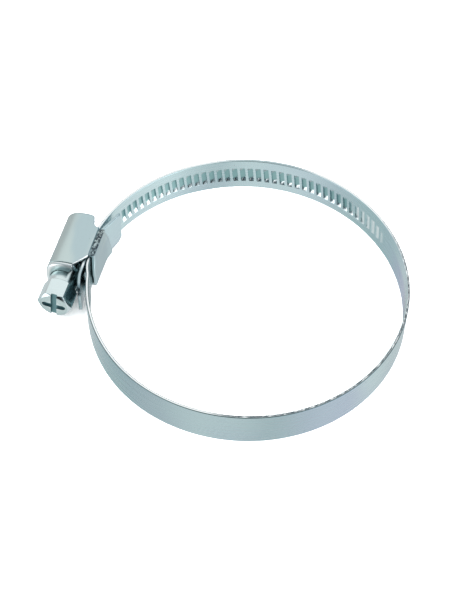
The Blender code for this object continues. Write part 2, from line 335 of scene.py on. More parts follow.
class Grain(Enum):
    """Which way the grain runs: lines per millimetre along each axis of the rest place.

    Real rolling grain is about 0.02 mm wide.  It is drawn about ten times as coarse, to show.
    """

    ALONG_STRIP = (0.09, 2.0, 5.5)
    ALONG_SCREW = (3.0, 0.12, 3.0)
    TURNED = (0.6, 3.4, 0.6)


@dataclass(frozen=True)
class ZincPlate:
    """Cold-rolled steel with a bright zinc plating and a clear blue passivate film.

    The film gives the eye a cool blue-green silver with lavender clouds where it is thicker, and
    the rolling grain under it stretches the reflections a little along the strip.
    """

    name: str
    plate: str
    cloud: str
    roughness: float
    grain: Grain
    cloud_size: float = 17.0      # mm across one cloud of the film
    cloud_share: float = 0.5      # how much of the cloud colour shows in a cloud
    grain_depth: float = 0.0022   # mm
    dent_depth: float = 0.006     # mm, the slight waviness of pressed sheet
    speck: float = 0.35           # how dark the few pits and scuffs are
    pressed: str = "#8bb0b1"      # floor of a pressed mark, where the film is thicker
    burnish_and_highlight: str = "#f3f6f6"    # near-white painted highlight on cut edges, the cap's lip and foot bevel and the marks' ramps, with some real burnish from the shear on the strip's edges
    sheared: str = "#4f5a63"      # rough torn steel on a cut edge
    soiled: str = "#4a666b"       # painted shade: in the cap's fold, along the strip's edge corners, on its outer face and most on the tail
    tear_scale: float = 1.7       # torn patches per mm
    tear_stretch: Place = (1.0, 1.0, 1.0)     # above 1 is finer along that axis
    tear_depth: float = 0.12      # mm
    torn_roughness: float = 0.28
    pressed_roughness: float = 0.08
    pit_scale: float = 1.1        # pits per mm
    wave_scale: float = 0.35      # dents of the waviness per mm
    cloud_stretch: Place = (1.0, 1.0, 1.0)

    def build(self) -> bpy.types.Material:
        """Make the node material.

        Returns:
            The material.
        """
        material = bpy.data.materials.new(self.name)
        material.use_nodes = True
        tree = material.node_tree
        tree.nodes.clear()
        place = add_node(tree, "ShaderNodeAttribute", {"attribute_name": "rest_place"}).outputs["Vector"]
        bloom, pressed, soiled, edge, sheared = (
            add_node(tree, "ShaderNodeAttribute", {"attribute_name": title}).outputs["Fac"]
            for title in ("bloom", "pressed", "soiled", "edge", "sheared"))
        grain = self._grain(tree, place)
        tear = self._tear(tree, place)
        torn = add_node(tree, "ShaderNodeMath", {"operation": "MULTIPLY"}, {0: sheared, 1: tear}).outputs[0]
        colour = self._tint(tree, self._film(tree, place, bloom), grain, place)
        # Layers: pressed floors, painted shade, painted highlight with some burnish, torn steel.
        layers = ((pressed, self.pressed), (soiled, self.soiled), (edge, self.burnish_and_highlight), (torn, self.sheared))
        for share, code in layers:
            colour = add_node(tree, "ShaderNodeMix", {"data_type": "RGBA"}, {
                "Factor": share, 6: colour, 7: linear_colour(code)}).outputs[2]
        rough = add_node(tree, "ShaderNodeMapRange", {}, {
            "Value": grain, "From Min": 0.3, "From Max": 0.7,
            "To Min": self.roughness - 0.05, "To Max": self.roughness + 0.05}).outputs[0]
        for share, added in ((torn, self.torn_roughness), (pressed, self.pressed_roughness)):
            rough = add_node(tree, "ShaderNodeMath", {"operation": "MULTIPLY_ADD", "use_clamp": True}, {
                0: share, 1: added, 2: rough}).outputs[0]
        shader = add_node(tree, "ShaderNodeBsdfPrincipled", {}, {
            "Base Color": colour, "Metallic": 1.0, "Roughness": rough,
            "Normal": self._relief(tree, place, grain, tear, sheared)})
        add_node(tree, "ShaderNodeOutputMaterial", {}, {"Surface": shader.outputs[0]})
        return material

    def _film(self, tree: bpy.types.NodeTree, place: Socket, bloom: Socket) -> Socket:
        """Mix the plate colour with the lavender clouds of the passivate film.

        Args:
            tree: The material's nodes.
            place: The rest place on the piece in mm.
            bloom: Share of cloud colour added everywhere.

        Returns:
            The colour.
        """
        drawn = add_node(tree, "ShaderNodeVectorMath", {"operation": "MULTIPLY"}, {0: place, 1: self.cloud_stretch})
        noise = add_node(tree, "ShaderNodeTexNoise", {}, {
            "Vector": drawn.outputs[0], "Scale": 1.0 / self.cloud_size, "Detail": 2.0, "Roughness": 0.45})
        level = add_node(tree, "ShaderNodeMapRange", {"interpolation_type": "SMOOTHSTEP"}, {
            "Value": noise.outputs[0], "From Min": 0.42, "From Max": 0.66, "To Min": 0.0,
            "To Max": self.cloud_share})
        share = add_node(tree, "ShaderNodeMath", {"operation": "ADD", "use_clamp": True}, {
            0: level.outputs[0], 1: bloom})
        return add_node(tree, "ShaderNodeMix", {"data_type": "RGBA"}, {
            "Factor": share.outputs[0], 6: linear_colour(self.plate), 7: linear_colour(self.cloud)}).outputs[2]

    def _grain(self, tree: bpy.types.NodeTree, place: Socket) -> Socket:
        """Draw the rolling grain: noise drawn out along the rolling direction.

        Args:
            tree: The material's nodes.
            place: The rest place on the piece in mm.

        Returns:
            The grain's height, about 0 to 1.
        """
        stretched = add_node(tree, "ShaderNodeVectorMath", {"operation": "MULTIPLY"}, {
            0: place, 1: self.grain.value})
        return add_node(tree, "ShaderNodeTexNoise", {}, {
            "Vector": stretched.outputs[0], "Scale": 1.0, "Detail": 4.0, "Roughness": 0.6}).outputs[0]

    def _tint(self, tree: bpy.types.NodeTree, colour: Socket, grain: Socket, place: Socket) -> Socket:
        """Vary the brightness with the grain and add a few small dark pits.

        Args:
            tree: The material's nodes.
            colour: The colour so far.
            grain: The grain's height.
            place: The rest place on the piece in mm.

        Returns:
            The colour.
        """
        level = add_node(tree, "ShaderNodeMapRange", {}, {
            "Value": grain, "From Min": 0.25, "From Max": 0.75, "To Min": 0.98, "To Max": 1.02})
        shaded = add_node(tree, "ShaderNodeVectorMath", {"operation": "SCALE"}, {
            0: colour, "Scale": level.outputs[0]})
        pits = add_node(tree, "ShaderNodeTexNoise", {}, {
            "Vector": place, "Scale": self.pit_scale, "Detail": 3.0, "Roughness": 0.7})
        dark = add_node(tree, "ShaderNodeMapRange", {"interpolation_type": "SMOOTHSTEP"}, {
            "Value": pits.outputs[0], "From Min": 0.68, "From Max": 0.76, "To Min": 1.0,
            "To Max": 1.0 - self.speck})
        return add_node(tree, "ShaderNodeVectorMath", {"operation": "SCALE"}, {
            0: shaded.outputs[0], "Scale": dark.outputs[0]}).outputs[0]

    def _tear(self, tree: bpy.types.NodeTree, place: Socket) -> Socket:
        """Draw the broken light and dark of a sheared edge.

        Args:
            tree: The material's nodes.
            place: The rest place on the piece in mm.

        Returns:
            Where it is torn, 0 or 1.
        """
        drawn = add_node(tree, "ShaderNodeVectorMath", {"operation": "MULTIPLY"}, {0: place, 1: self.tear_stretch})
        noise = add_node(tree, "ShaderNodeTexNoise", {}, {
            "Vector": drawn.outputs[0], "Scale": self.tear_scale, "Detail": 4.0, "Roughness": 0.75})
        ramp = add_node(tree, "ShaderNodeValToRGB", {}, {"Fac": noise.outputs[0]})
        colour_steps(ramp, [(0.46, 0.0), (0.54, 1.0)])
        return ramp.outputs[0]

    def _relief(self, tree: bpy.types.NodeTree, place: Socket, grain: Socket, tear: Socket,
                sheared: Socket) -> Socket:
        """Turn grain, waviness and torn edges into bump.

        Args:
            tree: The material's nodes.
            place: The rest place on the piece in mm.
            grain: The grain's height.
            tear: Where a sheared edge would be torn.
            sheared: Share of sheared edge.

        Returns:
            The bumped normal.
        """
        waves = add_node(tree, "ShaderNodeTexNoise", {}, {
            "Vector": place, "Scale": self.wave_scale, "Detail": 1.0, "Roughness": 0.4})
        soft = add_node(tree, "ShaderNodeBump", {}, {
            "Strength": 1.0, "Distance": self.dent_depth * MM, "Height": waves.outputs[0]})
        fine = add_node(tree, "ShaderNodeBump", {}, {
            "Strength": 1.0, "Distance": self.grain_depth * MM, "Height": grain, "Normal": soft.outputs[0]})
        torn = add_node(tree, "ShaderNodeBump", {}, {
            "Strength": sheared, "Distance": self.tear_depth * MM, "Height": tear, "Normal": fine.outputs[0]})
        return torn.outputs[0]


# Cold-rolled strip, bright zinc: a cool silver with faint streaks along it and soft reflections.
BAND_FINISH = ZincPlate("zinc_plated_rolled_strip", "#bbd1d4", "#a8b4ca", 0.25, Grain.ALONG_STRIP,
                        cloud_share=0.2, grain_depth=0.0004, sheared="#5f6c73", tear_stretch=(0.5, 2.4, 1.0))
# The same strip's plain end, handled less: smoother, with a trace more lavender.
TONGUE_FINISH = ZincPlate("zinc_plated_strip_end", "#b4cbcf", "#b9c2cf", 0.24, Grain.ALONG_STRIP,
                          cloud_share=0.25, grain_depth=0.0002)
# Deep-drawn sheet, zinc plated after pressing: duller, with greenish clouds and a little waviness.
HOUSING_FINISH = ZincPlate("zinc_plated_pressed_sheet", "#b0c4c8", "#bfcfce", 0.34, Grain.ALONG_SCREW,
                           cloud_size=5.0, cloud_share=1.0, dent_depth=0.012, speck=0.5,
                           cloud_stretch=(1.0, 0.3, 1.0))
# Cold-formed and turned steel, bright zinc: the lightest and sharpest reflections of all.
SCREW_FINISH = ZincPlate("zinc_plated_turned_steel", "#d4e2e3", "#b7caca", 0.22, Grain.TURNED,
                         cloud_size=5.0, cloud_share=0.15, dent_depth=0.004)
# Painted shade for the cut faces of the driver slots: a dull dark blue-green.
SLOT_SHADE_FINISH = ZincPlate("zinc_plated_slot_painted_shade", "#6b9296", "#557a80", 0.4, Grain.TURNED,
                        cloud_size=3.0, dent_depth=0.008)


# ---------------------------------------------------------------- the band


@dataclass(frozen=True)
class BandPath:
    """Middle line of the strip, measured in mm along it from the first hinge.

    Before the first hinge is the threaded end on an arc of its own; after it is the ring, which
    narrows before the housing and ends as the inner layer on the saddle plate.
    """

    first_hinge: float = 63.0       # degrees round the ring
    last_hinge: float = 351.0
    links: int = 17
    thread_centre: tuple[float, float] = (0.6, -0.4)    # (outward, along)
    thread_radius: float = 35.9
    tail_tip: float = -19.2         # degrees about the thread arc's centre
    tail_lift: float = 0.4          # the free tail stands this far off its arc
    near_radius: float = 35.15      # the ring's radius where it meets the housing
    inner_layer: float = 35.42      # distance of the inner layer from the ring's centre
    housing_end: float = -1.2       # place along the screw where the inner layer ends
    narrowing: Span = (290.0, 350.0)    # degrees over which the ring draws in
    joggle: Span = (-8.0, -3.4)         # along the screw, on to the inner layer
    joining: Span = (-9.0, 1.0)         # mm over which the two arcs blend

    @property
    def thread_angle(self) -> float:
        """Angle of the first hinge about the thread arc's centre, in degrees."""
        outward, along = self._ring(self.first_hinge)
        return math.degrees(math.atan2(along - self.thread_centre[1], outward - self.thread_centre[0]))

    @property
    def tip(self) -> float:
        """Distance of the tail's tip along the strip."""
        return math.radians(self.tail_tip - self.thread_angle) * self.thread_radius

    @property
    def end(self) -> float:
        """Distance of the inner layer's end along the strip."""
        turn = 360.0 + math.degrees(math.asin(self.housing_end / self.inner_layer))
        return math.radians(turn - self.first_hinge) * RING_RADIUS

    def hinge(self, number: int) -> float:
        """Distance of a hinge along the strip; number 0 is the first."""
        return math.radians((self.last_hinge - self.first_hinge) * number / self.links) * RING_RADIUS

    def ring_angle(self, distance: float) -> float:
        """Angle round the ring at a distance along the strip, in degrees."""
        return self.first_hinge + math.degrees(distance / RING_RADIUS)

    def _ring(self, angle: float) -> tuple[float, float]:
        """Middle line of the ring stretch at an angle in degrees.

        Args:
            angle: Degrees round the ring.

        Returns:
            (outward, along) in mm.
        """
        radius = mix(RING_RADIUS, self.near_radius, ease(*self.narrowing, angle))
        outward = radius * math.cos(math.radians(angle))
        along = radius * math.sin(math.radians(angle))
        if angle > 330.0:
            outward = mix(outward, self.inner_layer, ease(*self.joggle, along))
        return outward, along

    def _thread(self, distance: float) -> tuple[float, float]:
        """Middle line of the threaded end at a distance along the strip.

        Args:
            distance: Place along the strip in mm.

        Returns:
            (outward, along) in mm.
        """
        angle = self.thread_angle + math.degrees(distance / self.thread_radius)
        radius = self.thread_radius + self.tail_lift * ease(-7.0, -13.0, angle)
        return (self.thread_centre[0] + radius * math.cos(math.radians(angle)),
                self.thread_centre[1] + radius * math.sin(math.radians(angle)))

    def middle(self, distance: float) -> Vector:
        """Return (outward, along) of the strip's middle line at a distance.

        Args:
            distance: Place along the strip in mm.

        Returns:
            (outward, along) in mm.
        """
        share = ease(*self.joining, distance)
        ring, thread = Vector(self._ring(self.ring_angle(distance))), Vector(self._thread(distance))
        return thread.lerp(ring, share)

    def normal(self, distance: float) -> Vector:
        """Return the unit normal out of the ring at a distance.

        Args:
            distance: Place along the strip in mm.

        Returns:
            The normal in (outward, along).
        """
        run = self.middle(distance + 0.05) - self.middle(distance - 0.05)
        run.normalize()
        return Vector((run.y, -run.x))


@dataclass(frozen=True)
class ThreadMarks:
    """Slanted marks pressed from inside; outside, the worm's grooves lie between low ribs."""

    pitch: float = 1.88         # the worm's pitch too
    phase: float = 0.55         # mm along the strip
    half_floor: float = 0.50    # half the width of a mark's floor
    half_mouth: float = 0.62    # half its width at the strip's face
    length: float = 4.3         # across the strip
    drop: float = 0.2           # the marks sit this far below the strip's middle
    end_ramp: float = 1.15      # how far the end wall slopes at its wide side
    depth: float = 0.48
    groove: float = 0.2
    slant: float = 6.0          # degrees
    reach: float = 0.93         # offset from a mark's middle past which the strip is plain
    first: int = -3             # number of the first mark; 0 is square under the screw
    fade_start: float = 33.0    # mm along the strip, where the marks begin to run out
    fade_stop: float = 49.5

    def centre(self, number: int, origin: float) -> float:
        """Distance of a mark's middle along the strip."""
        return origin + self.phase + self.pitch * number

    def shear(self, up: float) -> float:
        """Shift along the strip at a height, from the slant."""
        inside = min(max(up, -self.length / 2), self.length / 2)
        return -inside * math.tan(math.radians(self.slant)) * ease(3.6, 2.2, abs(up))

    def press(self, offset: float, up: float, distance: float) -> float:
        """How deep a mark is pressed, from 0 to 1, at an offset from its middle.

        Args:
            offset: Distance from the mark's middle line, in mm.
            up: Height in mm.
            distance: Distance along the strip, which fades the last marks.

        Returns:
            1 on the mark's floor, 0 outside it.
        """
        across = ease(self.half_mouth, self.half_floor, abs(offset))
        side = clamp01(0.5 + offset / (2 * self.half_mouth))
        level = up + self.drop
        share = side if level < 0 else 1.0 - side
        ramp = mix(0.1, self.end_ramp, share ** 0.6)
        ends = clamp01((self.length / 2 - abs(level)) / ramp)
        fade = 1.0 - ease(self.fade_start, self.fade_stop, distance)
        return min(across, ends) * fade


@dataclass
class Band:
    """The strip: threaded end, ring and the inner layer on the saddle plate."""

    layout: Layout
    material: bpy.types.Material
    path: BandPath = field(default_factory=BandPath)
    marks: ThreadMarks = field(default_factory=ThreadMarks)
    edge_radius: float = 0.1
    line_start: float = 0.26      # share of the half thickness where the edge's painted highlight ends and the painted shade along the corner begins
    line_full: float = 0.72       # where that painted shade is at its darkest
    tail_corner: float = 2.9
    tail_visible: float = -46.5   # mm along the strip, where the tail leaves the housing
    plain_step: float = 0.55
    seam_margin: float = 0.9      # length kept each side of a seam
    housing_bend: float = 2.4     # mm past the last hinge where the last length's span ends

    # Where along the ring the finish changes, as (rise, fall) in degrees.
    # shaded_edge: less painted highlight and more painted shade on the cut edge over the back of the ring.
    shaded_edge: tuple[Span, Span] = ((60.0, 76.0), (94.0, 106.0))
    torn_edge: tuple[Span, Span] = ((120.0, 175.0), (258.0, 272.0))
    lavender_inside: tuple[Span, Span] = ((138.0, 160.0), (190.0, 200.0))
    lavender_outside: tuple[Span, Span] = ((205.0, 222.0), (232.0, 250.0))

    # Offsets from a mark's middle and heights where the mesh has lines, closest on the marks' walls.
    MARK_STEPS: ClassVar[tuple[float, ...]] = (
        -0.94, -0.78, -0.66, -0.62, -0.58, -0.54, -0.50, -0.46, -0.36, -0.24, -0.12, 0.0,
        0.12, 0.24, 0.36, 0.46, 0.50, 0.54, 0.58, 0.62, 0.66, 0.78)
    ROWS: ClassVar[tuple[float, ...]] = (
        0.0, 0.35, 0.7, 1.0, 1.15, 1.25, 1.35, 1.45, 1.55, 1.65, 1.75, 1.85, 1.95, 2.05, 2.15, 2.23,
        2.30, 2.37, 2.45, 2.6, 2.9, 3.3, 3.8, 4.15)

    def mark_origin(self) -> float:
        """Distance along the strip of the mark that lies square under the screw."""
        return -math.radians(self.path.thread_angle) * self.path.thread_radius

    def section(self) -> list[tuple[float, float]]:
        """Closed outline of the strip's cross-section.

        Returns:
            (height in mm, side from -1 inner to 1 outer) round the outline.
        """
        flat = BAND_WIDTH / 2 - self.edge_radius
        rows = sorted({*self.ROWS, flat, *(-row for row in self.ROWS), -flat})
        inner = [(row, -1.0) for row in rows]
        outer = [(row, 1.0) for row in reversed(rows)]
        return inner + self._edge(1.0) + outer + self._edge(-1.0)

    def _edge(self, sign: float) -> list[tuple[float, float]]:
        """Rounded edge of the strip between its faces, without the end points.

        Args:
            sign: 1 for the upper edge, -1 for the lower.

        Returns:
            (height in mm, side from -1 inner to 1 outer) points.
        """
        half, side, radius = BAND_WIDTH / 2, BAND_THICKNESS / 2, self.edge_radius
        inner = []
        for turn in (-67.5, -45.0, -22.5):
            angle = math.radians(turn)
            height = half - radius * (1.0 - math.cos(angle))
            inner.append((sign * height, (-(side - radius) + radius * math.sin(angle)) / side))
        inner += [(sign * half, -(side - radius) / side), (sign * half, -self.line_start)]
        outer = [(height, -across) for height, across in reversed(inner)]
        run = inner + [(sign * half, 0.0)] + outer
        return run if sign > 0 else run[::-1]

    def columns(self, start: float, stop: float) -> list[tuple[float, float]]:
        """Distances along the strip where cross-sections stand, with the mark each belongs to.

        Args:
            start: First distance.
            stop: Last distance.

        Returns:
            (distance, offset from the nearest mark's middle) from start to stop.
        """
        origin = self.mark_origin()
        last = math.floor((self.marks.fade_stop - origin - self.marks.phase) / self.marks.pitch) + 1
        places: dict[float, float] = {}
        for number in range(self.marks.first, last):
            middle = self.marks.centre(number, origin)
            for offset in self.MARK_STEPS:
                if start + 0.05 < middle + offset < stop - 0.05:
                    places[round(middle + offset, 4)] = offset
        low = self.marks.centre(self.marks.first, origin) - self.marks.pitch / 2
        high = self.marks.centre(last - 1, origin) + self.marks.pitch / 2
        count = max(1, round((stop - start) / self.plain_step))
        for distance in spread(start, stop, count):
            if not low < distance < high:
                places[round(distance, 4)] = self.marks.pitch / 2
        for distance in (start, stop):
            offset = (distance - origin - self.marks.phase + self.marks.pitch / 2) % self.marks.pitch
            inside = low < distance < high
            places[round(distance, 4)] = offset - self.marks.pitch / 2 if inside else self.marks.pitch / 2
        return sorted(places.items())

    def seam(self, number: int) -> float:
        """Distance of the seam in the middle of a link, moved to the land between two marks.

        Args:
            number: The link's number.

        Returns:
            The distance in mm.
        """
        middle = (self.path.hinge(number - 1) + self.path.hinge(number)) / 2
        origin = self.mark_origin() + self.marks.phase + self.marks.pitch / 2
        if middle < self.marks.fade_stop:
            return origin + round((middle - origin) / self.marks.pitch) * self.marks.pitch
        return middle

    def length(self, name: str, start: float, stop: float) -> bpy.types.Object:
        """Build one length of the strip.

        Args:
            name: The piece's name.
            start: Where it begins along the strip.
            stop: Where it ends.

        Returns:
            The piece, not yet on a body.
        """
        outline = self.section()
        half = BAND_WIDTH / 2
        columns = self.columns(start, stop)
        if start <= self.path.tip:
            arc = [self.path.tip + self.tail_corner * (1.0 - math.cos(turn))
                   for turn in spread(0.0, math.pi / 2, 10)]
            columns = [(round(place, 4), self.marks.pitch / 2) for place in arc] + [
                column for column in columns if column[0] > arc[-1] + 0.1]
        first, last = self.marks.centre(self.marks.first, self.mark_origin()) - 1.0, self.marks.fade_stop + 1.0
        skin = Skin()
        for distance, offset in columns:
            width = rounded_half(distance - self.path.tip, self.tail_corner)
            for up, side in outline:
                height = up * width / half
                spot = distance + (self.marks.shear(up) if first <= distance <= last else 0.0)
                depth = self.marks.press(offset, up, distance) if abs(offset) < self.marks.reach else 0.0
                level = side * BAND_THICKNESS / 2
                if side <= -1.0:
                    level += self.marks.depth * depth
                elif side >= 1.0:
                    land = ease(2.45, 2.1, abs(up)) * self._land(distance)
                    level += self.marks.groove * (min(depth, land) - land)
                place = self.path.middle(spot) + self.path.normal(spot) * level
                skin.add(self.layout.place(place.x, place.y, height), (spot, level, height),
                         pressed=ease(0.9, 1.0, depth) if side <= -1.0 else 0.0,
                         bloom=self._bloom(spot, height, side),
                         **self._cut_edge(spot, side, depth, abs(offset) < self.marks.half_floor))
        return mesh_piece(name, skin, loop_faces(len(columns), len(outline)), self.material, sharp=60.0)

    def _cut_edge(self, distance: float, side: float, depth: float, on_floor: bool) -> dict[str, float]:
        """Shares of painted highlight with some burnish, of torn steel and of painted shade at a point.

        Args:
            distance: Place along the strip in mm.
            side: -1 on the inner face to 1 on the outer face.
            depth: How deep a mark is pressed there, from 0 to 1.
            on_floor: Whether the point is within the width of a mark's floor.

        Returns:
            The shares by the name of their layer.
        """
        tail = ease(self.tail_visible + 1.5, self.tail_visible, distance)
        soiled = self._soiled(distance, side, tail)
        if abs(side) < 1.0:
            # The cut edge's middle gets painted highlight, with some burnish, and little of it on the tail.
            middle = ease(self.line_full, self.line_start, abs(side)) * self._edge_highlight(distance)
            return {"edge": middle * mix(0.95, 0.1, tail), "sheared": self._torn(distance) * middle,
                    "soiled": soiled}
        # Painted highlight: near-white on the sloping ramp of each mark's floor, inside the strip.
        on_ramp = side <= -1.0 and on_floor
        ramp = ease(0.02, 0.12, depth) * ease(0.97, 0.85, depth) if on_ramp else 0.0
        return {"edge": ramp, "sheared": 0.0, "soiled": soiled}

    def _edge_highlight(self, distance: float) -> float:
        """How much painted highlight the cut edge gets: least over the back of the ring, where painted shade is
        added.
        """
        return 1.0 - 0.8 * window(*self.shaded_edge, self.path.ring_angle(distance))

    def _soiled(self, distance: float, side: float, tail: float) -> float:
        """Where shade is painted: along the edge's corners, outside, and most on the tail.

        Args:
            distance: Place along the strip in mm.
            side: -1 on the inner face to 1 on the outer face.
            tail: 1 on the free tail.

        Returns:
            Share of painted shade.
        """
        if side >= 1.0:
            return mix(0.15, 0.6, tail)
        if side <= -1.0:
            return 0.3 * tail
        corner = ease(self.line_start, self.line_full, abs(side))
        angle = self.path.ring_angle(distance)
        outer, inner = 0.8 + 0.2 * ease(108.0, 122.0, angle), 0.95 * ease(225.0, 262.0, angle)
        share = corner * (outer if side > 0 else inner)
        return max(share, 0.45 * (1.0 - self._edge_highlight(distance)), 0.3 * tail)

    def _land(self, distance: float) -> float:
        """Where the worm's grooves are rolled into the outside, from 0 to 1."""
        start = self.marks.centre(self.marks.first, self.mark_origin()) - 1.0
        return window((start - 0.6, start + 0.6), (self.marks.fade_start, self.marks.fade_stop), distance)

    def _torn(self, distance: float) -> float:
        """How torn the slit edge is along the strip: rough on the far and right-hand stretch."""
        return window(*self.torn_edge, self.path.ring_angle(distance))

    def _bloom(self, distance: float, height: float, side: float) -> float:
        """Share of lavender film: thicker low on the right-hand stretch of the ring.

        Args:
            distance: Place along the strip in mm.
            height: Height in mm.
            side: -1 inside to 1 outside.

        Returns:
            The share.
        """
        angle = self.path.ring_angle(distance)
        if side < 0:
            low = ease(2.0, -1.0, height + (angle - 165.0) * 0.06)
            return window(*self.lavender_inside, angle) * low
        return window(*self.lavender_outside, angle) * 0.55

    def build(self) -> list[bpy.types.Object]:
        """Build the whole strip, one length at a time, and hide the frame's band links.

        Returns:
            The lengths, from the tail to the housing.
        """
        total = self.path.links
        seams = [self.path.tip] + [self.seam(number) for number in range(1, total + 1)] + [self.path.end]
        pieces = []
        for number in range(total + 1):
            name = "strip_threaded_end" if number == 0 else f"strip_length_{number:02d}"
            piece = self.length(name, seams[number], seams[number + 1])
            hinge = self.path.hinge(number)
            before = seams[number] + self.seam_margin
            after = seams[number + 1] - self.seam_margin
            if number == 0:     # the threaded end's span starts half a link before the first hinge
                before = hinge - (self.path.hinge(1) / 2 - self.seam_margin)
            if number == total:
                after = hinge + self.housing_bend
            self._point(before)
            self._point(after)
            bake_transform(piece)
            nodes = ["band_threaded_end"] if number == 0 else [f"band_link_{number:02d}"]
            if number == total:
                nodes.append("band_housing_link")
            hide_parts(*nodes)
            pieces.append(piece)
        return pieces

    def _point(self, distance: float) -> tuple[float, float, float]:
        """Return the frame point of the middle line at a distance."""
        place = self.path.middle(distance)
        return tuple(self.layout.place(place.x, place.y))


# ---------------------------------------------------------------- the housing


@dataclass
class FixedEnd:
    """The band's plain end, clinched on the saddle plate, with the tongue that sticks out."""

    layout: Layout
    material: bpy.types.Material
    # (outward, along) of its middle line, from inside the housing to the tip
    places: tuple[tuple[float, float], ...] = (
        (35.40, 0.9), (35.39, 3.0), (35.28, 4.4), (35.03, 5.6), (34.55, 6.8), (34.02, 8.0), (33.35, 9.6),
        (32.68, 11.25))
    top_corner: float = 0.7
    low_corner: float = 2.2
    edge_radius: float = 0.14
    pattern_start: float = 400.0    # mm, so that its grain isn't the ring's again

    def middle(self, share: float) -> Vector:
        """Middle line by a smooth curve through the places, share from 0 to 1.

        Args:
            share: From 0 in the housing to 1 at the tip.

        Returns:
            (outward, along) in mm.
        """
        count = len(self.places) - 1
        index = min(int(share * count), count - 1)
        step = share * count - index
        points = [Vector(self.places[min(max(index + shift, 0), count)]) for shift in (-1, 0, 1, 2)]
        first, second = points[2] - points[0], points[3] - points[1]
        cube, square = step ** 3, step ** 2
        return (points[1] * (2 * cube - 3 * square + 1) + first * 0.5 * (cube - 2 * square + step)
                + points[2] * (3 * square - 2 * cube) + second * 0.5 * (cube - square))

    def build(self) -> bpy.types.Object:
        """Build the fixed end.

        Returns:
            The piece, riding on the housing.
        """
        tip = self.places[-1][1]
        shares = spread(0.0, 0.86, 34) + [0.86 + 0.14 * math.sin(turn) for turn in spread(0.0, math.pi / 2, 12)[1:]]
        rows = spread(0.0, 1.0, 16)
        edge, nick = self.edge_radius, self.edge_radius * 0.3
        skin = Skin()
        for share in shares:
            here = self.middle(share)
            run = (self.middle(min(share + 0.004, 1.0)) - self.middle(max(share - 0.004, 0.0))).normalized()
            normal = Vector((run.y, -run.x))
            left = max((tip - here.y) / max(run.y, 0.3), 0.0)
            top, low = rounded_half(left, self.top_corner), rounded_half(left, self.low_corner)
            thin = min(1.0, 0.35 + left / 0.2) if left < 0.2 else 1.0     # the tip is bevelled
            side = BAND_THICKNESS / 2 * thin
            ring = [(mix(-low + edge, top - edge, row), -side) for row in rows]
            ring += [(top - nick, -side + nick), (top, -side + edge), (top, side - edge),
                     (top - nick, side - nick)]
            ring += [(mix(-low + edge, top - edge, row), side) for row in reversed(rows)]
            ring += [(-low + nick, side - nick), (-low, side - edge), (-low, -side + edge),
                     (-low + nick, -side + nick)]
            for height, level in ring:
                place = here + normal * level
                skin.add(self.layout.place(place.x, place.y, height), (here.y + self.pattern_start, level, height),
                         sheared=0.15 if abs(level) < side - 0.02 else 0.0,
                         bloom=0.15 * ease(6.0, 10.0, here.y))
        faces = loop_faces(len(shares), 2 * len(rows) + 8)
        piece = mesh_piece("fixed_end_tongue", skin, faces, self.material, sharp=50.0)
        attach(piece, "housing")
        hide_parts("band_fixed_end")
        return piece


